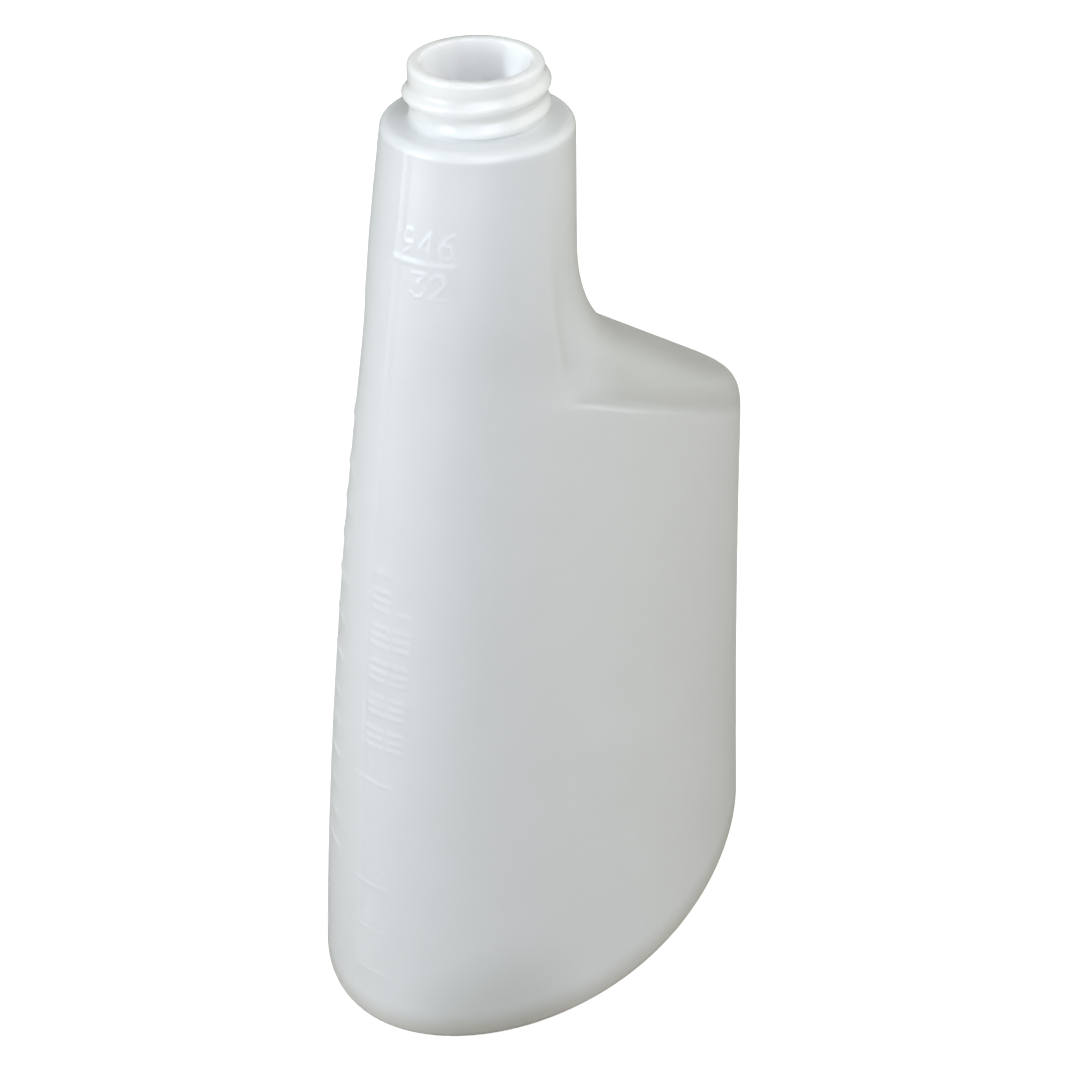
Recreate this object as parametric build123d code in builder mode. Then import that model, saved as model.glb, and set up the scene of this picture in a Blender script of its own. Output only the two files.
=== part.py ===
from build123d import *
import os
from math import cos, pi, sin

# A bottle for about a litre, blow moulded in one piece: an egg-shaped body, a
# domed shoulder that slopes down to the far end, and an upright column under a
# threaded neck. Origin: middle of the base, on the ground. X runs along the
# body, with the neck towards -X, and Z is up.

# Body
base_length = 134.9
base_width = 83.9
heel_round = 3.7
wall = 1.0
front_bow_share = 0.48
side_waist_share = 0.54
body_nose_share = 0.11
body_flat_share = 0.04

# Foot: the bottle stands on a rim round a shallow push-up
foot_width = 6.0
push_up_slope = 7.0
push_up_height = 2.2

# Far end and sloping shoulder
rear_lean = 5.2
shoulder_corner_height = 126.3
shoulder_corner_round = 17.9
crease_front_drop = 39.3
crease_nose_share = 0.17
crease_flat_share = -0.14
pivot_power = 3.4
pivot_start_share = 0.2
round_column_share = 0.7

# Column under the neck, with a rounded top edge
neck_offset = 18.7
column_radius = 18.1
column_height = 214.3
column_foot_drop = 44.6
column_foot_lean = 0.7
column_foot_round = 34.0
crown_round = 2.0

# Neck finish: outside radius at the thread's root, bore, and one helical thread
neck_radius = 12.435
neck_bore_radius = 10.0
neck_height = 10.6
neck_root_round = 0.9
rim_round = 0.9
mouth_round = 0.7
thread_pitch = 4.233
thread_height = 1.2
thread_base_width = 3.0
thread_crest_width = 1.1
thread_turns = 1.5
thread_drop = 2.9
thread_start_angle = 202.0
thread_sink = 0.4

# Shared values
overrun = 1.0
outline_points = 28
edge_rings = 4
body_rings = 8
shoulder_rings = 16
ring_ease_share = 0.5

neck_x = -neck_offset
front_base_x = -base_length / 2
rear_base_x = base_length / 2
front_column_x = neck_x - column_radius
rear_column_x = neck_x + column_radius
column_top_z = column_height - crown_round
crease_front_z = column_height - crease_front_drop
column_foot_z = column_height - column_foot_drop
rim_z = column_height + neck_height


def depth_share(z):
    """Way down to the heel, 1, from the column's top edge, 0, as it is above it too."""
    return max(column_top_z - z, 0) / (column_top_z - heel_round)


def front_point(z, skin):
    """Point of the front line at a height, inside the outer face by skin."""
    share = depth_share(z)
    bowed = share + front_bow_share * share * (1 - share)
    return Vector(front_column_x + (front_base_x - front_column_x) * bowed + skin, 0, z)


def half_width(z):
    """Half the bottle's width at a height."""
    share = depth_share(z)
    waisted = share - side_waist_share * share * (1 - share)
    return column_radius + (base_width / 2 - column_radius) * waisted


def oval(front, rear, nose_share, flat_share, skin):
    """One closed section through a front and a rear point, as wide as the body
    is at its widest place, which the nose share moves towards the front."""
    middle = (front + rear) / 2
    reach = (rear - front).length / 2
    widest = middle - (rear - front) * sin(nose_share) / 2
    breadth = half_width(widest.Z) - skin
    along = (rear - front).normalized()
    with BuildSketch(Plane(origin=middle, x_dir=along, z_dir=along.cross(Vector(0, 1, 0)))) as section:
        with BuildLine():
            turns = [2 * pi * point / outline_points for point in range(outline_points)]
            Spline(
                *[
                    (
                        reach * cos(turn),
                        breadth * sin(turn - nose_share * sin(turn) - flat_share * sin(2 * turn)),
                    )
                    for turn in turns
                ],
                periodic=True,
            )
        make_face()
    return section.sketch


# Rear line, in the bottle's middle plane: up the far end, round the corner,
# along the ridge, and up the back of the column
with BuildLine(Plane.XZ) as far_wall_and_ridge:
    FilletPolyline(
        (rear_base_x, 0),
        (rear_base_x - rear_lean, shoulder_corner_height),
        (rear_column_x + column_foot_lean, column_foot_z),
        (rear_column_x, column_top_z),
        radius=[shoulder_corner_round, column_foot_round],
    )
rear_line = far_wall_and_ridge.wire()
far_wall = rear_line.edges().sort_by(Axis.Z)[0]
crease_share = far_wall.length / rear_line.length


def rear_point(share, skin):
    """Point at a share of the rear line's length, inside the outer face by skin."""
    outward = Vector(0, 1, 0).cross(rear_line % share).normalized()
    return (rear_line @ share) - outward * skin


def level_rear_point(z, skin):
    """Point of the straight far wall at a height, inside the outer face by skin."""
    return Vector(rear_base_x - rear_lean * z / shoulder_corner_height - skin, 0, z)


def heel_ovals(skin):
    """Level sections that swell along a quarter round, from the ground to the wall."""
    radius = heel_round - skin
    ovals = []
    for ring in range(edge_rings + 1):
        turn = pi / 2 * ring / edge_rings
        height = skin + radius * (1 - cos(turn))
        inset = skin + radius * (1 - sin(turn))
        front = front_point(height, inset)
        rear = level_rear_point(height, inset)
        ovals.append(oval(front, rear, body_nose_share, body_flat_share, inset))
    return ovals


def body_ovals(skin):
    """Sections from the heel, where they are level, to the tilted crease."""
    heel_share = heel_round / rear_line.length
    ovals = [heel_ovals(skin)[-1]]
    for ring in range(1, body_rings + 1):
        rise = ring / body_rings
        front = front_point(heel_round + (crease_front_z - heel_round) * rise, skin)
        rear = rear_point(heel_share + (crease_share - heel_share) * rise, skin)
        nose = body_nose_share + (crease_nose_share - body_nose_share) * rise
        flat = body_flat_share + (crease_flat_share - body_flat_share) * rise
        ovals.append(oval(front, rear, nose, flat, skin))
    return ovals


def shoulder_ovals(skin):
    """Sections from the crease, over the ridge and up the column, level at its top.
    They turn about the front line at first, and stand closer at both ends."""
    ovals = []
    for ring in range(shoulder_rings + 1):
        count = ring / shoulder_rings
        rise = count - ring_ease_share * sin(2 * pi * count) / (2 * pi)
        climb = pivot_start_share * rise + (1 - pivot_start_share) * rise**pivot_power
        front = front_point(crease_front_z + (column_top_z - crease_front_z) * climb, skin)
        rear = rear_point(crease_share + (1 - crease_share) * rise, skin)
        if ring == shoulder_rings:
            rear = Vector(rear_column_x - skin, 0, column_top_z)
        rounding = 1 - min(rise / round_column_share, 1)
        ovals.append(oval(front, rear, crease_nose_share * rounding, crease_flat_share * rounding, skin))
    return ovals


def crown_ovals(skin):
    """Round sections that shrink along a quarter round, from the column to its flat top."""
    radius = crown_round - skin
    ovals = []
    for ring in range(edge_rings + 1):
        turn = pi / 2 * ring / edge_rings
        height = column_top_z + radius * sin(turn)
        inset = skin + radius * (1 - cos(turn))
        rear = Vector(rear_column_x - inset, 0, height)
        ovals.append(oval(front_point(height, inset), rear, 0, 0, inset))
    return ovals


def bottle_form(skin):
    """The whole form up to the neck, inside the outer face by skin."""
    with BuildPart() as form:
        loft(heel_ovals(skin))
        loft(body_ovals(skin))
        loft(shoulder_ovals(skin))
        loft(crown_ovals(skin))
    return form.part


def push_up(skin):
    """The shallow recess under the base, grown by skin all round."""
    slope = push_up_slope / push_up_height
    ovals = []
    for height in (-overrun, push_up_height + skin):
        inset = foot_width + slope * height - skin * (slope + 1)
        front = front_point(0, inset)
        rear = level_rear_point(0, inset)
        front.Z = height
        rear.Z = height
        ovals.append(oval(front, rear, body_nose_share, body_flat_share, inset))
    with BuildPart() as recess:
        loft(ovals, ruled=True)
    return recess.part


# The thread: a ridge with sloping sides on a helix that climbs towards the rim
helix_height = thread_pitch * thread_turns
helix_foot = Vector(neck_x, 0, rim_z - thread_drop - helix_height)
with BuildPart() as thread:
    with BuildLine(Plane(helix_foot).rotated((0, 0, thread_start_angle))) as helix:
        Helix(pitch=thread_pitch, height=helix_height, radius=neck_radius)
    climb_line = helix.wire()
    ridge_start = climb_line @ 0
    with BuildSketch(Plane(origin=ridge_start, x_dir=ridge_start - helix_foot, z_dir=climb_line % 0)):
        with BuildLine():
            Polyline(
                (-thread_sink, -thread_base_width / 2),
                (0, -thread_base_width / 2),
                (thread_height, -thread_crest_width / 2),
                (thread_height, thread_crest_width / 2),
                (0, thread_base_width / 2),
                (-thread_sink, thread_base_width / 2),
                close=True,
            )
        make_face()
    sweep(path=climb_line, is_frenet=True)

# The hollow: the form again, one wall further in, less the raised push-up
with BuildPart() as hollow:
    add(bottle_form(wall))
    add(push_up(wall), mode=Mode.SUBTRACT)

with BuildPart() as bottle:
    add(bottle_form(0))
    with BuildSketch(Plane((neck_x, 0, column_height))):
        Circle(neck_radius)
    extrude(amount=neck_height)
    root = bottle.edges().filter_by(GeomType.CIRCLE).sort_by(Axis.Z)[0]
    fillet(root, radius=neck_root_round)
    add(hollow.part, mode=Mode.SUBTRACT)
    add(push_up(0), mode=Mode.SUBTRACT)
    with BuildSketch(Plane((neck_x, 0, rim_z))):
        Circle(neck_bore_radius)
    extrude(amount=-neck_height - wall - overrun, mode=Mode.SUBTRACT)
    mouth_edge = bottle.edges().group_by(Axis.Z)[-1].sort_by(SortBy.RADIUS)[0]
    fillet(mouth_edge, radius=mouth_round)
    rim_edge = bottle.edges().group_by(Axis.Z)[-1].sort_by(SortBy.RADIUS)[-1]
    fillet(rim_edge, radius=rim_round)
    add(thread.part)
bottle.part.label = "bottle"

os.makedirs("parts", exist_ok=True)
export_step(bottle.part, "parts/bottle.step")
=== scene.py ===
import bpy
import numpy as np
from math import pi
from mathutils import Matrix, Vector


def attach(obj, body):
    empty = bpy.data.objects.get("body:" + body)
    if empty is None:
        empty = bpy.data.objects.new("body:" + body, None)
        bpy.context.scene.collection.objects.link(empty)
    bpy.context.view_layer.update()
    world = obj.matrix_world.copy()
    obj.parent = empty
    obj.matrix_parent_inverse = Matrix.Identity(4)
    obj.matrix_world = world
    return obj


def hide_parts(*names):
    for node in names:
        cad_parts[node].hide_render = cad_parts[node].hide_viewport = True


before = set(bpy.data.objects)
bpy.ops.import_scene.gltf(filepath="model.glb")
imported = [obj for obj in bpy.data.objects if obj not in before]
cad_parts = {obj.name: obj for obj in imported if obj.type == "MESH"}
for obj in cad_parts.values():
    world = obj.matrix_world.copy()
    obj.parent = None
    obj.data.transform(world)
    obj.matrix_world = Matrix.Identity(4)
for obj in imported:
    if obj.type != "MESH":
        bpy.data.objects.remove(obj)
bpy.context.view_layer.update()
millimetre = 0.001


# Form of the bottle in millimetres: the same numbers as its CAD source
form = {
    "baseLength": 134.9,
    "baseWidth": 83.9,
    "heelRound": 3.7,
    "wall": 1.0,
    "frontBow": 0.48,
    "sideWaist": 0.54,
    "bodyNose": 0.11,
    "bodyFlat": 0.04,
    "footWidth": 6.0,
    "pushUpSlope": 7.0,
    "pushUpHeight": 2.2,
    "rearLean": 5.2,
    "cornerHeight": 126.3,
    "cornerRound": 17.9,
    "creaseFront": 175.0,
    "creaseNose": 0.17,
    "creaseFlat": -0.14,
    "pivotPower": 3.4,
    "pivotStart": 0.2,
    "roundColumn": 0.7,
    "neckX": -18.7,
    "columnRadius": 18.1,
    "columnHeight": 214.3,
    "columnFoot": 169.7,
    "footLean": 0.7,
    "footRound": 34.0,
    "crownRound": 2.0,
    "neckRadius": 12.435,
    "boreRadius": 10.0,
    "neckHeight": 10.6,
    "neckRootRound": 0.9,
    "rimRound": 0.9,
    "mouthRound": 0.7,
}

# Small rounds that only the looks need, and the flat that the push-up ends in
softening = {
    "pushUpRounds": (3.0, 2.0),
    "floorRounds": (1.2, 3.0),
    "flatReach": 4.0,
    "boreFootRound": 0.3,
}

# The crease between body and shoulder: rounded over a short way along the wall, and
# faded out towards both ends; angles are from the rear, and spans are wall stations
crease = {
    "softness": 0.45,
    "stationLength": 110.0,
    "reach": 4.0,
    "samples": 9,
    "edgeWeight": 0.1,
    "frontAngles": (1.95, 2.35),
    "frontSpan": (0.72, 1.5),
    "rearAngles": (0.1, 0.5, 1.3, 1.8),
    "rearSpan": (0.955, 1.07),
}

# The fold at the crease: the shoulder dips a little just above it, most at the sides
creaseFold = {"angles": (1.3, 1.8, 1.92, 2.12), "depth": 0.35, "reach": 1.6}

# The edge that leaves the crease and climbs the column's side: stations of the wall,
# and the angle from the rear at each; behind it the wall is slightly hollow
sideEdge = {
    "station": (1.0, 1.07, 1.155, 1.35, 1.535, 1.662, 1.765, 1.85, 1.92, 2.0),
    "angle": (2.05, 2.05, 2.033, 1.92, 1.736, 1.6, 1.53, 1.54, 1.59, 1.66),
    "degree": 5,
    "softness": 0.3,
    "step": 0.48,
    "stepReach": 1.5,
    "rise": 0.45,
    "fall": 0.55,
    "depth": 1.5,
    "reach": 4.0,
}

# The thread on the neck, a rounded ridge on a helix; run-in and run-out in degrees
thread = {
    "pitch": 4.233,
    "height": 1.2,
    "halfWidth": 1.95,
    "turns": 1.5,
    "drop": 2.9,
    "startAngle": 202.0,
    "runIn": (-30.0, 34.0),
    "runOut": 30.0,
    "rootBand": 0.02,
}

# How finely the surface is divided: angles in radians, steps in millimetres
grid = {
    "frontSpan": (-0.56, -0.06, 0.38, 0.62),
    "frontStep": (0.024, 0.0115, 0.017),
    "plainStep": 0.05,
    "bodyStep": 3.2,
    "markStep": 0.47,
    "shoulderRows": 74,
    "fillStations": (1.65, 1.93),
    "fillRows": 66,
    "creaseStations": (-0.03, 0.03),
    "creaseRows": 13,
    "innerBodyRows": 24,
    "innerShoulderRows": 34,
    "roundRows": 8,
    "poleRows": 12,
    "footStep": 1.5,
    "floorStep": 2.0,
    "neckStep": 0.34,
    "boreSkip": 3,
    "boreBand": (0.05, 0.1),
    "rearPathSteps": 40,
    "neckArcSteps": 6,
    "baseArcSteps": 4,
    "tangentStep": 0.5,
}

topZ = form["columnHeight"] - form["crownRound"]
rimZ = form["columnHeight"] + form["neckHeight"]
columnBack = form["neckX"] + form["columnRadius"]
slopeTop = form["footWidth"] + form["pushUpSlope"]
quarter = np.linspace(0, pi / 2, grid["roundRows"] + 1)


def shareDown(z):
    # Way down the wall: 0 from the column's top edge upwards, 1 at the heel
    return np.maximum(topZ - z, 0) / (topZ - form["heelRound"])


def frontX(z):
    # Front line: x = start + way * (share + bow * share * (1 - share))
    start = form["neckX"] - form["columnRadius"]
    share = shareDown(z)
    return start + (-form["baseLength"] / 2 - start) * (share + form["frontBow"] * share * (1 - share))


def halfWidth(z):
    # Half the width: column + growth * (share - waist * share * (1 - share))
    share = shareDown(z)
    swell = share - form["sideWaist"] * share * (1 - share)
    return form["columnRadius"] + (form["baseWidth"] / 2 - form["columnRadius"]) * swell


def roundedPath(corners, radii, steps):
    # Straight lines through the corners, each inner corner cut by a circular arc
    # that touches both lines at radius / tan(half the corner's angle) from it
    path = [np.array(corners[0], float)]
    for before, corner, after, radius in zip(corners, corners[1:], corners[2:], radii):
        corner = np.array(corner, float)
        back = np.array(before) - corner
        on = np.array(after) - corner
        back /= np.linalg.norm(back)
        on /= np.linalg.norm(on)
        half = np.arccos(np.clip(back @ on, -1, 1)) / 2
        first = corner + back * radius / np.tan(half)
        last = corner + on * radius / np.tan(half)
        centre = corner + (back + on) / np.linalg.norm(back + on) * radius / np.sin(half)
        startTurn = np.arctan2(*(first - centre)[::-1])
        sweep = (np.arctan2(*(last - centre)[::-1]) - startTurn + pi) % (2 * pi) - pi
        turn = startTurn + sweep * np.linspace(0, 1, steps + 1)
        path += list(centre + radius * np.stack([np.cos(turn), np.sin(turn)], 1))
    path.append(np.array(corners[-1], float))
    return np.array(path)


# Rear line in the bottle's middle plane: up the far end, round the corner, along the
# ridge and up the back of the column
rearPath = roundedPath(
    [
        (form["baseLength"] / 2, 0),
        (form["baseLength"] / 2 - form["rearLean"], form["cornerHeight"]),
        (columnBack + form["footLean"], form["columnFoot"]),
        (columnBack, topZ),
    ],
    [form["cornerRound"], form["footRound"]],
    grid["rearPathSteps"],
)
rearLength = np.r_[0, np.cumsum(np.linalg.norm(np.diff(rearPath, axis=0), axis=1))]
creaseLength = rearLength[1]


def rearPoint(length, inset):
    # Point of the rear line at a length from the ground, moved in along its normal
    x = np.interp(length, rearLength, rearPath[:, 0])
    z = np.interp(length, rearLength, rearPath[:, 1])
    step = grid["tangentStep"]
    ahead = np.stack([np.interp(length + step, rearLength, rearPath[:, i]) for i in (0, 1)], -1)
    behind = np.stack([np.interp(length - step, rearLength, rearPath[:, i]) for i in (0, 1)], -1)
    along = ahead - behind
    along /= np.linalg.norm(along, axis=-1, keepdims=True)
    return np.stack([x - along[..., 1] * inset, z + along[..., 0] * inset], -1)


def ovals(front, rear, nose, flat, turns, inset):
    # Rings through a front and a rear point, with centre C and reach A:
    # x, z = C + A cos(t) and y = width * sin(t - nose sin(t) - flat sin(2 t))
    centre, reach = (front + rear) / 2, (rear - front) / 2
    width = halfWidth(centre[:, 1] - reach[:, 1] * np.sin(nose)) - inset
    turn = turns - nose[:, None] * np.sin(turns) - flat[:, None] * np.sin(2 * turns)
    x = centre[:, :1] + reach[:, :1] * np.cos(turns)
    z = centre[:, 1:] + reach[:, 1:] * np.cos(turns)
    return np.stack([x, width[:, None] * np.sin(turn), z], -1)


def wallRings(station, turns, inset):
    # Ovals between the front and the rear line. Stations 0 to 1 climb from the heel to
    # the crease, and 1 to 2 from the crease over the ridge and up the column, where the
    # front climbs by pivotStart * s + (1 - pivotStart) * s^pivotPower
    low = np.clip(station, 0, 1)
    high = np.clip(station - 1, 0, 1)
    climb = form["pivotStart"] * high + (1 - form["pivotStart"]) * high ** form["pivotPower"]
    frontZ = form["heelRound"] + (form["creaseFront"] - form["heelRound"]) * low
    frontZ = frontZ + (topZ - form["creaseFront"]) * climb
    length = form["heelRound"] + (creaseLength - form["heelRound"]) * low
    length = length + (rearLength[-1] - creaseLength) * high
    rounding = 1 - np.minimum(high / form["roundColumn"], 1)
    nose = (form["bodyNose"] + (form["creaseNose"] - form["bodyNose"]) * low) * rounding
    flat = (form["bodyFlat"] + (form["creaseFlat"] - form["bodyFlat"]) * low) * rounding
    front = np.stack([frontX(frontZ) + inset, frontZ], -1)
    return ovals(front, rearPoint(length, inset), nose, flat, turns, inset)


def levelRings(path, turns):
    # Level ovals for rows of (inset from the outer face, height)
    inset, z = path[:, 0], path[:, 1]
    rearX = form["baseLength"] / 2 - form["rearLean"] * z / form["cornerHeight"]
    front = np.stack([frontX(z) + inset, z], -1)
    rear = np.stack([rearX - inset, z], -1)
    same = np.ones(len(path))
    return ovals(front, rear, form["bodyNose"] * same, form["bodyFlat"] * same, turns, inset)


def roundRings(path, turns):
    # Circles round the neck's axis for rows of (radius, height)
    radius, z = path[:, :1], path[:, 1:]
    x = form["neckX"] + radius * np.cos(turns)
    return np.stack([x, radius * np.sin(turns), z + 0 * turns], -1)


def fanRings(ring):
    # A ring's middle, and rings that grow evenly from it to the ring
    middle = ring.mean(0)
    shares = np.linspace(0, 1, grid["poleRows"])[1:-1, None, None]
    return middle, middle + (ring - middle) * shares


def spread(path, step):
    # More points along a path, so that none is further than step from the next
    rows = [path[0]]
    for start, end in zip(path, path[1:]):
        count = max(1, int(np.ceil(np.linalg.norm(end - start) / step)))
        rows += [start + (end - start) * part / count for part in range(1, count + 1)]
    return np.array(rows)


def outwardNormals(rings):
    # Unit normals of a grid of points, from its differences along rows and columns
    along = np.gradient(rings, axis=0)
    around = np.roll(rings, -1, axis=1) - np.roll(rings, 1, axis=1)
    normal = np.cross(around, along)
    return normal / np.maximum(np.linalg.norm(normal, axis=-1, keepdims=True), 1e-9)


def climbedWay(rings):
    # Way along each column of the mesh from its first row
    return np.cumsum(np.linalg.norm(np.diff(rings, axis=0, prepend=rings[:1]), axis=-1), axis=0)


def smooth(value, low, high):
    # 0 below low, 1 above high, and a soft curve 3 t^2 - 2 t^3 between them
    part = np.clip((value - low) / (high - low), 0, 1)
    return part * part * (3 - 2 * part)


def between(value, first, second, third, fourth):
    # Rises from 0 to 1 between the first two bounds, and falls back between the last two
    return smooth(value, first, second) * smooth(-value, -fourth, -third)


def averagedRings(station, turns, inset):
    # The wall's rings, each averaged near the crease with rings a short way up and down:
    # weight = 1 - (1 - edgeWeight) * offset^2
    reach = crease["softness"] / crease["stationLength"]
    near = np.exp(-(((station - 1) / (crease["reach"] * reach)) ** 2))
    total, weights = 0, 0
    for offset in np.linspace(-1, 1, crease["samples"]):
        weight = 1 - offset * offset * (1 - crease["edgeWeight"])
        total = total + weight * wallRings(station + offset * near * reach, turns, inset)
        weights += weight
    return total / weights


def meltedCrease(rings, station, share, span):
    # Where the crease fades out, each column of the mesh follows a cubic Hermite curve
    # between two rows, with the wall's own direction at both ends
    travelled = climbedWay(rings)
    ends = []
    for edge in span:
        row = np.argmin(np.abs(station - edge))
        way = travelled[row + 1] - travelled[row - 1]
        ends.append((travelled[row], rings[row], (rings[row + 1] - rings[row - 1]) / way[:, None]))
    (start, first, leaving), (end, last, arriving) = ends
    length = (end - start)[:, None]
    part = np.clip((travelled - start) / (end - start), 0, 1)[..., None]
    curve = (2 * part**3 - 3 * part**2 + 1) * first + (3 * part**2 - 2 * part**3) * last
    curve += (part**3 - 2 * part**2 + part) * length * leaving
    curve += (part**3 - part**2) * length * arriving
    return rings + share[:, None] * ((part > 0) & (part < 1)) * (curve - rings)


def sideHollow(rings, station, angle, way):
    # hollow = depth * (arc / reach) * exp(1 - arc / reach), where arc is the way round
    # the wall behind the side edge. A share of it, step, begins just above the crease,
    # and the rest further up
    width = np.abs(rings[..., 1]).max(1)
    curve = np.polyfit(sideEdge["station"], sideEdge["angle"], sideEdge["degree"])
    arc = (np.polyval(curve, np.clip(station, 1, 2))[:, None] - angle) * width[:, None]
    arc = 0.5 * (arc + np.sqrt(arc * arc + sideEdge["softness"]))
    step = sideEdge["step"] * (1 - np.exp(-way / sideEdge["stepReach"]))
    rest = (1 - sideEdge["step"]) * smooth(station, 1, 1 + sideEdge["rise"])[:, None]
    strength = (step + rest) * smooth(-station, -2, sideEdge["fall"] - 2)[:, None]
    share = arc / sideEdge["reach"]
    return strength * sideEdge["depth"] * share * np.exp(1 - share)


def foldDip(angle, way):
    # dip = depth * (way / reach) * exp(1 - way / reach), where way is the way up the wall
    # from the crease
    share = way / creaseFold["reach"]
    return between(angle, *creaseFold["angles"]) * creaseFold["depth"] * share * np.exp(1 - share)


def softWallRings(station, turns, inset):
    # The wall's rings with a soft crease, pushed in behind the side edge and in the fold
    angle = pi - np.abs(turns % (2 * pi) - pi)
    upwards = np.sign(station[-1] - station[0])
    rings = averagedRings(station, turns, inset)
    rings = meltedCrease(rings, station, smooth(angle, *crease["frontAngles"]), crease["frontSpan"])
    rings = meltedCrease(rings, station, between(angle, *crease["rearAngles"]), crease["rearSpan"])
    climbed = climbedWay(rings)
    way = np.maximum((climbed - climbed[np.argmin(np.abs(station - 1))]) * upwards, 0)
    inwards = sideHollow(rings, station, angle, way) + foldDip(angle, way)
    return rings - outwardNormals(rings) * inwards[..., None] * upwards


# Marks raised in the wall, in millimetres: heights on the front line, and distances
# round the wall from that line, towards the near side
marks = {
    "relief": 0.145,
    "lineWidth": 1.0,
    "strokeWidth": 0.58,
    "longTicks": (18.5, 32.0, 46.0, 76.0),
    "longTickSpan": (-1.5, 7.8),
    "longTickNumbers": ("4", "8", "12", "18"),
    "numberHeight": 3.2,
    "numberLeft": 2.2,
    "numberLift": 1.8,
    "digitWidth": 0.6,
    "digitPitch": 1.45,
    "shortTicks": (48.9, 57.4, 65.9, 74.9, 83.4, 91.1, 101.0, 110.4, 120.3, 128.4, 137.2, 145.8, 156.6),
    "shortTickSpan": (-15.0, -9.5),
    "shortTickWidth": 1.7,
    "shortTickShare": 2.0,
    "fillHeight": 194.0,
    "fillSpan": (-1.0, 11.8),
    "fillNumbers": (("946", 1.3, 1.5), ("32", 4.2, -6.2)),
    "fillNumberHeight": 4.4,
    "ladderBottom": 86.0,
    "ladderStep": 2.15,
    "ladderCounts": (21, 17),
    "ladderSpans": ((1.5, 5.0), (7.0, 9.7)),
    "ladderGap": 4,
    "ladderShare": 1.25,
    "lineMargin": 1.1,
    "numberMargin": 0.7,
    "ladderMargin": 1.0,
    "seam": 0.08,
    "seamWidth": 0.9,
    "seamAt": -0.3,
    "grooveAt": 1.0,
    "grooveShare": 0.7,
    "seamFoot": 6.0,
}

# Strokes of the digits in a box one unit wide and one high
digitStrokes = {
    "1": [[(0.2, 0.75), (0.5, 1), (0.5, 0)]],
    "2": [[(0, 0.75), (0.2, 1), (0.75, 1), (1, 0.78), (0.95, 0.55), (0, 0), (1, 0)]],
    "3": [[(0, 1), (1, 1), (0.45, 0.6), (0.85, 0.52), (1, 0.3), (0.8, 0.05), (0.3, 0), (0, 0.15)]],
    "4": [[(0.72, 0), (0.72, 1), (0, 0.3), (1, 0.3)]],
    "6": [[(0.85, 1), (0.3, 0.8), (0, 0.35), (0.25, 0), (0.75, 0), (1, 0.3), (0.75, 0.58), (0.1, 0.5)]],
    "8": [
        [(0.5, 0.54), (0.1, 0.68), (0.1, 0.88), (0.5, 1), (0.9, 0.88), (0.9, 0.68), (0.5, 0.54)],
        [(0.5, 0.54), (0, 0.38), (0, 0.14), (0.5, 0), (1, 0.14), (1, 0.38), (0.5, 0.54)],
    ],
    "9": [[(0.15, 0), (0.7, 0.2), (1, 0.65), (0.75, 1), (0.25, 1), (0, 0.7), (0.25, 0.42), (0.9, 0.5)]],
}


def strokeDistance(across, up, start, end):
    # Distance from each point to the straight stroke from start to end
    start, end = np.array(start, float), np.array(end, float)
    way = end - start
    share = ((across - start[0]) * way[0] + (up - start[1]) * way[1]) / max(way @ way, 1e-9)
    share = np.clip(share, 0, 1)
    return np.hypot(across - start[0] - share * way[0], up - start[1] - share * way[1])


def ridge(distance, width):
    # Height of a rounded ridge: 1 on its line, falling smoothly to 0 at its width
    return 0.5 + 0.5 * np.cos(pi * np.clip(distance / width, 0, 1))


def numberRelief(across, up, text, left, foot, height):
    # Digits side by side, as ridges along their strokes
    width = height * marks["digitWidth"]
    raised = 0
    for place, digit in enumerate(text):
        corner = np.array([left + place * width * marks["digitPitch"], foot])
        for line in digitStrokes[digit]:
            points = [corner + np.array(point) * (width, height) for point in line]
            for start, end in zip(points, points[1:]):
                distance = strokeDistance(across, up, start, end)
                raised = np.maximum(raised, ridge(distance, marks["strokeWidth"]))
    return raised


def tickLines():
    # Each tick as (height, span round the wall, width, strength)
    wide = marks["lineWidth"]
    short = (marks["shortTickSpan"], marks["shortTickWidth"], marks["shortTickShare"])
    lines = [(z, marks["longTickSpan"], wide, 1.0) for z in marks["longTicks"]]
    lines += [(z, *short) for z in marks["shortTicks"]]
    lines.append((marks["fillHeight"], marks["fillSpan"], wide, 1.0))
    for count, span in zip(marks["ladderCounts"], marks["ladderSpans"]):
        for rung in range(count):
            if rung % marks["ladderGap"] != marks["ladderGap"] - 1:
                height = marks["ladderBottom"] + marks["ladderStep"] * rung
                lines.append((height, span, wide, marks["ladderShare"]))
    return lines


def numberPlaces():
    # Each number as (text, left edge, foot, height)
    places = []
    for z, text in zip(marks["longTicks"], marks["longTickNumbers"]):
        places.append((text, marks["numberLeft"], z + marks["numberLift"], marks["numberHeight"]))
    for text, left, lift in marks["fillNumbers"]:
        places.append((text, left, marks["fillHeight"] + lift, marks["fillNumberHeight"]))
    return places


def markRelief(across, up):
    # Height of all the marks at each point, from its distance round the wall and its height
    raised = np.zeros_like(across)
    for z, span, width, strength in tickLines():
        distance = strokeDistance(across, up, (span[0], z), (span[1], z))
        raised = np.maximum(raised, strength * ridge(distance, width))
    for place in numberPlaces():
        raised = np.maximum(raised, numberRelief(across, up, *place))
    return raised * marks["relief"]


def seamRelief(across, up):
    # The parting line: a low ridge with a shallower groove beside it, from the heel up
    line = ridge(np.abs(across - marks["seamAt"]), marks["seamWidth"])
    groove = marks["grooveShare"] * ridge(np.abs(across - marks["grooveAt"]), marks["seamWidth"])
    fade = np.clip((up - marks["seamFoot"]) / marks["seamFoot"], 0, 1)
    return (line - groove) * marks["seam"] * fade


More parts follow.
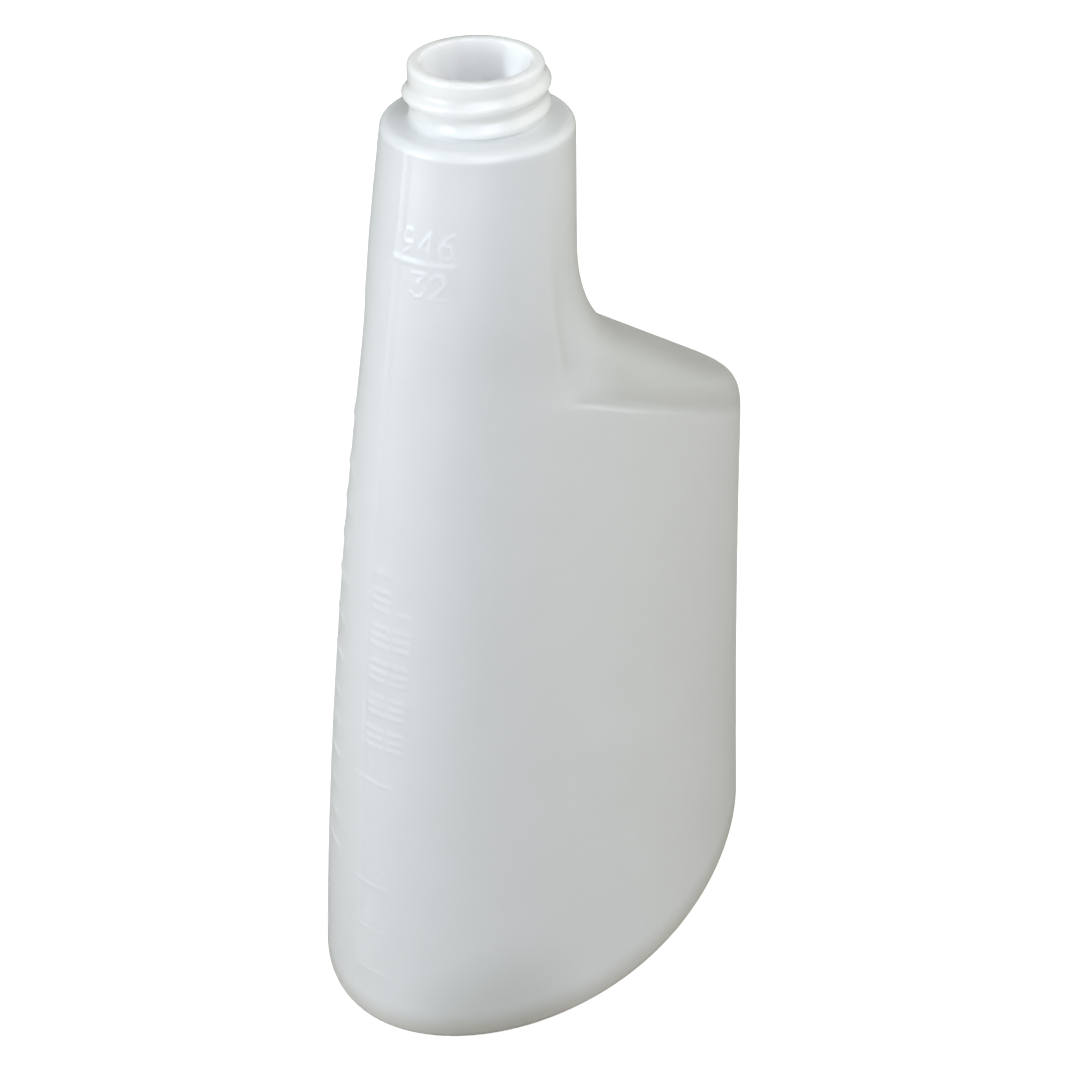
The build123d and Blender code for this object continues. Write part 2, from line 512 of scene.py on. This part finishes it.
def markRows():
    # Heights of the front line that rows of the mesh pass through, close at the marks
    margin, ladder = marks["lineMargin"], marks["ladderBottom"]
    numberTop = marks["numberLift"] + marks["numberHeight"] + marks["numberMargin"]
    ladderTop = ladder + marks["ladderStep"] * (marks["ladderCounts"][0] - 1)
    bands = [(z - margin, z + margin) for z in marks["longTicks"] + marks["shortTicks"]]
    bands += [(z, z + numberTop) for z in marks["longTicks"]]
    bands.append((ladder - marks["ladderMargin"], ladderTop + marks["ladderMargin"]))
    rows = np.arange(form["heelRound"], form["creaseFront"], grid["markStep"])
    inBand = np.zeros(len(rows), bool)
    for low, high in bands:
        inBand |= (rows > low) & (rows < high)
    coarse = np.arange(len(rows)) % int(grid["bodyStep"] / grid["markStep"]) == 0
    return np.r_[rows[inBand | coarse], form["creaseFront"]]


def wallStations():
    # Stations of the wall's rows, close at the marks, at the fill line and at the crease
    body = (markRows() - form["heelRound"]) / (form["creaseFront"] - form["heelRound"])
    shoulder = 1 + np.linspace(0, 1, grid["shoulderRows"])[1:]
    fill = np.linspace(*grid["fillStations"], grid["fillRows"])
    plain = (shoulder < fill[0]) | (shoulder > fill[-1])
    edge = 1 + np.linspace(*grid["creaseStations"], grid["creaseRows"])
    return np.unique(np.round(np.r_[body, shoulder[plain], fill, edge], 5))


def columnTurns():
    # Angles of the mesh's columns: close where the marks are, wide elsewhere
    spans, steps = grid["frontSpan"], grid["frontStep"]
    turns = [np.arange(low, high, step) for low, high, step in zip(spans, spans[1:], steps)]
    rest = 2 * pi - (spans[-1] - spans[0])
    count = int(rest / grid["plainStep"])
    turns.append(spans[-1] + rest * np.arange(count) / count)
    return pi + np.concatenate(turns)


def baseRings(turns):
    # Under the base: the push-up's flat and its slope, the foot and the rounded heel,
    # whose quarter circle is inset = r * (1 - sin(t)), height = r * (1 - cos(t))
    heel, rise = form["heelRound"], form["pushUpHeight"]
    flat = slopeTop + softening["flatReach"]
    corners = [(flat, rise), (slopeTop, rise), (form["footWidth"], 0), (heel, 0)]
    path = roundedPath(corners, softening["pushUpRounds"], grid["baseArcSteps"])
    foot = spread(path, grid["footStep"])[:-1]
    heelPath = np.stack([heel * (1 - np.sin(quarter)), heel * (1 - np.cos(quarter))], -1)
    rings = levelRings(np.concatenate([foot, heelPath[:-1]]), turns)
    middle, flatRings = fanRings(rings[0])
    return middle, np.concatenate([flatRings, rings])


def markedWall(turns):
    # The wall up to the column's top edge, with the marks and the parting line raised
    outer = softWallRings(wallStations(), turns, 0)
    steps = np.linalg.norm(np.diff(outer, axis=1, append=outer[:, :1]), axis=-1)
    travelled = np.cumsum(steps, axis=1) - steps
    middle = np.argmin(np.abs(turns - pi))
    across = travelled - travelled[:, middle : middle + 1]
    lap = steps.sum(1, keepdims=True)
    across = np.where(across > lap / 2, across - lap, across)
    raised = markRelief(across, outer[..., 2]) + seamRelief(across, outer[..., 2])
    return outer + outwardNormals(outer) * raised[..., None]


def threadSwell(rings, turns):
    # Height of the thread at each point: a ridge on z = foot + pitch * laps round the
    # axis, tapering at both ends
    radius = np.hypot(rings[..., 0] - form["neckX"], rings[..., 1])
    onRoot = np.abs(radius - form["neckRadius"]) < thread["rootBand"]
    first, last = thread["runIn"]
    turned = ((np.degrees(turns) - thread["startAngle"] - first) % 360 + first) / 360
    footZ = rimZ - thread["drop"] - thread["pitch"] * thread["turns"]
    swell = np.zeros_like(radius)
    for lap in (0, 1):
        along = turned + lap
        ends = np.clip((thread["turns"] - along) * 360 / thread["runOut"], 0, 1)
        ends = ends * np.clip((along * 360 - first) / (last - first), 0, 1)
        height = ridge(np.abs(rings[..., 2] - footZ - thread["pitch"] * along), thread["halfWidth"])
        swell = np.maximum(swell, height * ends * ends * (3 - 2 * ends))
    return swell * thread["height"] * onRoot


def neckRings(turns):
    # Crown, neck, rim, bore and the crown's inside, as circles round the neck's axis
    wall, crown, column = form["wall"], form["crownRound"], form["columnRadius"]
    ledge = form["columnHeight"] - wall
    crownRadius = column - crown * (1 - np.cos(quarter[1:]))
    crownPath = np.stack([crownRadius, topZ + crown * np.sin(quarter[1:])], -1)
    corners = [
        (column - crown, form["columnHeight"]),
        (form["neckRadius"], form["columnHeight"]),
        (form["neckRadius"], rimZ),
        (form["boreRadius"], rimZ),
        (form["boreRadius"], ledge),
        (column - crown, ledge),
    ]
    radii = [form["neckRootRound"], form["rimRound"], form["mouthRound"], softening["boreFootRound"]]
    path = spread(roundedPath(corners, radii, grid["neckArcSteps"]), grid["neckStep"])[1:]
    aside, below = grid["boreBand"]
    inBore = (path[:, 0] < form["boreRadius"] + aside) | (path[:, 1] < form["columnHeight"] - below)
    keep = ~inBore | (np.arange(len(path)) % grid["boreSkip"] == 0)
    keep[-1] = True
    inner = crown - wall
    innerRadius = column - wall - inner * (1 - np.sin(quarter[1:-1]))
    innerPath = np.stack([innerRadius, topZ + inner * np.cos(quarter[1:-1])], -1)
    rings = roundRings(np.concatenate([crownPath, path[keep], innerPath]), turns)
    swell = threadSwell(rings, turns)
    rings[..., 0] += swell * np.cos(turns)
    rings[..., 1] += swell * np.sin(turns)
    return rings


def hollowRings(turns):
    # The hollow, one wall further in, from the column's top down to the raised floor
    wall, rise = form["wall"], form["pushUpHeight"]
    shoulder = 2 - np.linspace(0, 1, grid["innerShoulderRows"])
    body = 1 - np.linspace(0, 1, grid["innerBodyRows"])[1:]
    inner = softWallRings(np.r_[shoulder, body], turns, wall)
    heel = form["heelRound"] - wall
    heelInset = wall + heel * (1 - np.cos(quarter[1:]))
    heelPath = np.stack([heelInset, wall + heel * (1 - np.sin(quarter[1:]))], -1)
    corners = [
        heelPath[-1],
        (form["footWidth"] - wall, wall),
        (slopeTop - wall, rise + wall),
        (slopeTop + softening["flatReach"] - wall, rise + wall),
    ]
    path = roundedPath(corners, softening["floorRounds"], grid["baseArcSteps"])
    floor = levelRings(np.concatenate([heelPath, spread(path, grid["floorStep"])[1:]]), turns)
    middle, flatRings = fanRings(floor[-1])
    return middle, np.concatenate([inner, floor, flatRings[::-1]])


def closedMesh(name, rings, poles):
    # One closed surface: rows of points joined into quads, with a fan at each pole
    rows, columns = rings.shape[:2]
    points = np.concatenate([rings.reshape(-1, 3), poles]) * millimetre
    row, column = np.meshgrid(np.arange(rows - 1), np.arange(columns), indexing="ij")
    here = row * columns + column
    after = row * columns + (column + 1) % columns
    quads = np.stack([here, after, after + columns, here + columns], -1).reshape(-1, 4)
    column = np.arange(columns)
    onward = (column + 1) % columns
    firstPole, lastPole = rows * columns, rows * columns + 1
    last = (rows - 1) * columns
    bottomFan = np.stack([onward, column, np.full(columns, firstPole)], -1)
    topFan = np.stack([last + column, last + onward, np.full(columns, lastPole)], -1)
    mesh = bpy.data.meshes.new(name)
    mesh.from_pydata(points.tolist(), [], quads.tolist() + bottomFan.tolist() + topFan.tolist())
    mesh.shade_smooth()
    mesh.validate()
    mesh.update()
    piece = bpy.data.objects.new(name, mesh)
    bpy.context.scene.collection.objects.link(piece)
    return piece


def makeBottle():
    # One closed skin: under the base, up the wall, over the rim and down the inside
    turns = columnTurns()
    bottom, base = baseRings(turns)
    inside, hollow = hollowRings(turns)
    rings = np.concatenate([base, markedWall(turns), neckRings(turns), hollow])
    return closedMesh("bottleBody", rings, np.array([bottom, inside]))


def linearColour(code):
    # Scene colour of an sRGB code such as #ffffff
    values = np.array([int(code[place : place + 2], 16) for place in (1, 3, 5)]) / 255
    bright = ((values + 0.055) / 1.055) ** 2.4
    return (*np.where(values <= 0.04045, values / 12.92, bright).tolist(), 1)


def addNode(tree, kind, settings=None, links=None):
    # A node with its settings, inputs by name or number, and sockets that feed it
    node = tree.nodes.new(kind)
    for name, value in (settings or {}).items():
        if isinstance(name, int) or name in node.inputs:
            node.inputs[name].default_value = value
        else:
            setattr(node, name, value)
    for name, socket in (links or {}).items():
        tree.links.new(socket, node.inputs[name])
    return node


def newMaterial(name):
    material = bpy.data.materials.new(name)
    material.use_nodes = True
    material.node_tree.nodes.clear()
    return material, material.node_tree


# Natural high-density polyethylene, blow moulded: milky, unpigmented plastic that light
# enters and leaves again, so that it glows softly and has a broad, dull sheen. It is
# clearer and glossier at the moulded neck. Near the ground the heel is painted darker
# and yellower: painted shade.
# Sizes are in millimetres, and depths are how far light travels in the plastic
plastic = {
    "colour": "#eceff0",
    "shade": "#e4e6e4",
    "cloudSize": 28.0,
    "cloudDetail": 3.0,
    "cloudRoughness": 0.5,
    "roughness": 0.36,
    "neckRoughness": 0.2,
    "ior": 1.54,
    "depth": 3.0,
    "neckDepth": 9.0,
    "boreDepth": 7.0,
    # Painted shade: the heel darker and yellower towards the ground, in full below 2 mm
    "heelColour": "#cdcac2",
    "heelShadeHeights": (11.0, 2.0),
    # Painted shade: a darker spot multiplied over the colour round the front corner near the heel
    "cornerColour": "#e4e4e1",
    "cornerShadeAt": (-50, -29, 6),
    "cornerShadeRadii": (28.0, 6.0),
    # Painted shade: a greyer patch on the sides of the shoulder's ridge behind the column, where the surface
    # faces away from the lamps
    "flankShadeColour": "#d3d4d0",
    "flankSlope": (0.55, 0, 1),
    "flankHeights": (150.0, 154.0),
    "flankLengths": (-17.0, 2.0),
    "flankWidths": (3.0, 13.0),
    "neckColour": "#eceeea",
    "neckHeights": (0.3, 3.0),
    # Painted light: the bore inside the neck is whiter, standing in for light that comes through the neck's
    # wall
    "boreColour": "#feffff",
    "boreGaps": (0.6, 0.1),
}


def makePlastic():
    material, tree = newMaterial("natural HDPE, blow moulded")
    place = addNode(tree, "ShaderNodeTexCoord").outputs["Object"]
    axes = addNode(tree, "ShaderNodeSeparateXYZ", links={"Vector": place}).outputs

    # Measures that the masks are made of: distances from the front corner and from the
    # neck's axis, height over a plane along the ridge, and distance from the middle plane
    corner = tuple(value * millimetre for value in plastic["cornerShadeAt"])
    fromCorner = addNode(tree, "ShaderNodeVectorMath", {"operation": "DISTANCE", 1: corner}, {0: place})
    onAxis = {"operation": "SUBTRACT", 1: (form["neckX"] * millimetre, 0, 0)}
    fromAxis = addNode(tree, "ShaderNodeVectorMath", onAxis, {0: place})
    onLevel = {"operation": "MULTIPLY", 1: (1, 1, 0)}
    level = addNode(tree, "ShaderNodeVectorMath", onLevel, {0: fromAxis.outputs["Vector"]})
    radius = addNode(tree, "ShaderNodeVectorMath", {"operation": "LENGTH"}, {0: level.outputs["Vector"]})
    alongRidge = {"operation": "DOT_PRODUCT", 1: plastic["flankSlope"]}
    overRidge = addNode(tree, "ShaderNodeVectorMath", alongRidge, {0: place})
    side = addNode(tree, "ShaderNodeMath", {"operation": "ABSOLUTE"}, {0: axes["Y"]})

    # Masks: 0 at the first bound and 1 at the second, smooth or straight between them
    neckHeights = [form["columnHeight"] + height for height in plastic["neckHeights"]]
    boreRadii = [form["boreRadius"] + gap for gap in plastic["boreGaps"]]
    masks = {
        # painted shade: darker towards the ground
        "heel": (axes["Z"], plastic["heelShadeHeights"], "SMOOTHSTEP"),
        # painted shade: a darker spot round the front corner of the heel
        "corner": (fromCorner.outputs["Value"], plastic["cornerShadeRadii"], "SMOOTHSTEP"),
        # above, behind and beside together give the painted shade on the ridge's sides
        "above": (overRidge.outputs["Value"], plastic["flankHeights"], "SMOOTHSTEP"),
        "behind": (axes["X"], plastic["flankLengths"], "SMOOTHSTEP"),
        "beside": (side.outputs["Value"], plastic["flankWidths"], "SMOOTHSTEP"),
        "neck": (axes["Z"], neckHeights, "LINEAR"),
        # painted light: the bore whiter inside the neck
        "bore": (radius.outputs["Value"], boreRadii, "LINEAR"),
    }
    mask = {}
    for name, (socket, (low, high), curve) in masks.items():
        bounds = {"From Min": low * millimetre, "From Max": high * millimetre}
        settings = {"interpolation_type": curve, **bounds}
        mask[name] = addNode(tree, "ShaderNodeMapRange", settings, {"Value": socket}).outputs["Result"]
    mask["flankShade"] = mask["above"]
    for name in ("behind", "beside"):
        factors = {0: mask["flankShade"], 1: mask[name]}
        mask["flankShade"] = addNode(tree, "ShaderNodeMath", {"operation": "MULTIPLY"}, factors).outputs["Value"]

    # Colour: a slow cloud of two near whites, then painted shade at the heel, the corner and the flank, the
    # neck's own tint, and painted light in the bore
    cloudSettings = {
        "Scale": 1 / (plastic["cloudSize"] * millimetre),
        "Detail": plastic["cloudDetail"],
        "Roughness": plastic["cloudRoughness"],
    }
    cloud = addNode(tree, "ShaderNodeTexNoise", cloudSettings, {"Vector": place})
    whites = {6: linearColour(plastic["colour"]), 7: linearColour(plastic["shade"])}
    mixed = addNode(tree, "ShaderNodeMix", {"data_type": "RGBA", **whites}, {0: cloud.outputs["Fac"]})
    for name, blend in (
        ("heel", "MIX"),
        ("corner", "MULTIPLY"),
        ("flankShade", "MIX"),
        ("neck", "MIX"),
        ("bore", "MIX"),
    ):
        settings = {"data_type": "RGBA", "blend_type": blend, 7: linearColour(plastic[name + "Colour"])}
        mixed = addNode(tree, "ShaderNodeMix", settings, {0: mask[name], 6: mixed.outputs[2]})

    # Light goes deeper in the thick neck, and its surface is smoother
    depths = [plastic[name] * millimetre for name in ("depth", "neckDepth", "boreDepth")]
    outer = addNode(tree, "ShaderNodeMix", {2: depths[0], 3: depths[1]}, {0: mask["neck"]})
    depth = addNode(tree, "ShaderNodeMix", {3: depths[2]}, {0: mask["bore"], 2: outer.outputs[0]})
    sheens = {2: plastic["roughness"], 3: plastic["neckRoughness"]}
    sheen = addNode(tree, "ShaderNodeMix", sheens, {0: mask["neck"]})
    surface = addNode(
        tree,
        "ShaderNodeBsdfPrincipled",
        {"IOR": plastic["ior"], "Subsurface Weight": 1.0, "Subsurface Radius": (1.0, 1.0, 1.0)},
        {"Base Color": mixed.outputs[2], "Roughness": sheen.outputs[0], "Subsurface Scale": depth.outputs[0]},
    )
    addNode(tree, "ShaderNodeOutputMaterial", links={"Surface": surface.outputs["BSDF"]})
    return material


bottle = makeBottle()
bottle.data.materials.append(makePlastic())
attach(bottle, "root")
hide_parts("bottle")
print("bottle", len(bottle.data.polygons), "faces")

# Stage: a plain pale floor under soft light. The camera sees the floor glow to white
# away from the bottle, and the bottle gets the light of a duller floor; metres
stage = {
    "floorColour": "#fafafa",
    "bounceColour": "#a8a49c",
    "floorRoughness": 0.9,
    "floorSize": 6.0,
    "floorGlow": 0.6,
    "glowRadii": (0.15, 0.6),
    "worldColour": "#fffdee",
    "worldStrength": 0.23,
}


def makeFloor():
    half = stage["floorSize"] / 2
    corners = [(-half, -half, 0), (half, -half, 0), (half, half, 0), (-half, half, 0)]
    mesh = bpy.data.meshes.new("floor")
    mesh.from_pydata(corners, [], [(0, 1, 2, 3)])
    floor = bpy.data.objects.new("floor", mesh)
    bpy.context.scene.collection.objects.link(floor)
    material, tree = newMaterial("plain pale floor")
    path = addNode(tree, "ShaderNodeLightPath")
    rough = stage["floorRoughness"]
    bounce = {"Base Color": linearColour(stage["bounceColour"]), "Roughness": rough}
    dull = addNode(tree, "ShaderNodeBsdfPrincipled", bounce)
    place = addNode(tree, "ShaderNodeTexCoord").outputs["Object"]
    away = addNode(tree, "ShaderNodeVectorMath", {"operation": "LENGTH"}, {0: place})
    near, far = stage["glowRadii"]
    glow = addNode(
        tree,
        "ShaderNodeMapRange",
        {"From Min": near, "From Max": far, "To Min": stage["floorGlow"], "To Max": 1.0},
        {"Value": away.outputs["Value"]},
    )
    seen = {"Base Color": linearColour(stage["floorColour"]), "Roughness": rough}
    pale = addNode(
        tree,
        "ShaderNodeBsdfPrincipled",
        {**seen, "Emission Color": (1, 1, 1, 1)},
        {"Emission Strength": glow.outputs["Result"]},
    )
    ends = {0: path.outputs["Is Camera Ray"], 1: dull.outputs["BSDF"], 2: pale.outputs["BSDF"]}
    surface = addNode(tree, "ShaderNodeMixShader", links=ends)
    addNode(tree, "ShaderNodeOutputMaterial", links={"Surface": surface.outputs[0]})
    mesh.materials.append(material)


def makeWorld():
    # White behind the bottle for the camera, and a dim soft light for all else
    world = bpy.data.worlds.new("studio")
    world.use_nodes = True
    tree = world.node_tree
    tree.nodes.clear()
    path = addNode(tree, "ShaderNodeLightPath")
    light = {"Color": linearColour(stage["worldColour"]), "Strength": stage["worldStrength"]}
    soft = addNode(tree, "ShaderNodeBackground", light)
    white = addNode(tree, "ShaderNodeBackground", {"Color": (1, 1, 1, 1), "Strength": 1.0})
    ends = {0: path.outputs["Is Camera Ray"], 1: soft.outputs[0], 2: white.outputs[0]}
    mixed = addNode(tree, "ShaderNodeMixShader", links=ends)
    addNode(tree, "ShaderNodeOutputWorld", links={"Surface": mixed.outputs[0]})
    bpy.context.scene.world = world


# Lamps: place, aim and size in metres, spread in degrees, colour, and power in watts
lamps = {
    "window left": ((-0.647, 0.302, 0.387), (-0.01, 0, 0.13), 0.5, 180, "#f3f9ff", 3.86),
    "window front": ((-0.632, -0.573, 0.438), (-0.01, 0, 0.13), 0.6, 180, "#e9eeff", 1.56),
    "window above": ((-0.246, -0.457, 0.743), (-0.01, 0, 0.13), 0.5, 180, "#e9f2ff", 2.74),
    "room right": ((0.634, -0.333, 0.468), (-0.01, 0, 0.13), 0.6, 180, "#f6fdf2", 0.95),
    "room front": ((0.294, -0.58, 0.589), (-0.01, 0, 0.13), 0.5, 180, "#fff9f0", 1.62),
    "beam on the neck": ((-0.252, -0.08, 0.663), (-0.0187, 0, 0.222), 0.06, 9, "#f1f4ff", 0.0003),
    "beam into the mouth": ((-0.176, -0.149, 0.604), (-0.0137, 0.0018, 0.2135), 0.014, 1, "#e0f2ff", 0.002),
}


def makeLamps():
    for name, (place, aim, size, spreadAngle, colour, power) in lamps.items():
        light = bpy.data.lights.new(name, "AREA")
        light.shape = "DISK"
        light.size = size
        light.color = linearColour(colour)[:3]
        light.energy = power
        light.spread = np.radians(spreadAngle)
        lamp = bpy.data.objects.new(name, light)
        lamp.location = place
        lamp.rotation_euler = (Vector(aim) - Vector(place)).to_track_quat("-Z", "Y").to_euler()
        bpy.context.scene.collection.objects.link(lamp)


# Camera: where the rim's middle falls in the photo, in pixels, the focal length in
# pixels, the distance in millimetres, and the view's turns in radians
camera = {
    "picture": 1080,
    "focalPixels": 1677.5644,
    "distance": 299.738,
    "azimuth": 0.74462,
    "elevation": 0.64855,
    "roll": -0.005385,
    "rimAt": (475.628, 58.354),
    "sensor": 36,
}


def makeCamera():
    azimuth, elevation, roll = camera["azimuth"], camera["elevation"], camera["roll"]
    level = np.cos(elevation)
    ahead = np.array([level * np.cos(azimuth), level * np.sin(azimuth), -np.sin(elevation)])
    right = np.array([np.sin(azimuth), -np.cos(azimuth), 0])
    up = np.cross(right, ahead)
    right, up = np.cos(roll) * right + np.sin(roll) * up, np.cos(roll) * up - np.sin(roll) * right
    scale = camera["distance"] / camera["focalPixels"]
    aside = (camera["rimAt"][0] - camera["picture"] / 2) * scale
    drop = (camera["rimAt"][1] - camera["picture"] / 2) * scale
    rim = np.array([form["neckX"], 0, rimZ])
    place = (rim - right * aside + up * drop - ahead * camera["distance"]) * millimetre
    data = bpy.data.cameras.new("camera")
    data.sensor_width = camera["sensor"]
    data.lens = camera["sensor"] * camera["focalPixels"] / camera["picture"]
    lens = bpy.data.objects.new("camera", data)
    turned = Matrix(np.stack([right, up, -ahead], 1).tolist()).to_4x4()
    lens.matrix_world = Matrix.Translation(place.tolist()) @ turned
    bpy.context.scene.collection.objects.link(lens)
    bpy.context.scene.camera = lens


makeFloor()
makeWorld()
makeLamps()
makeCamera()
bpy.context.scene.view_settings.view_transform = "Standard"
print("stage, lamps and camera")
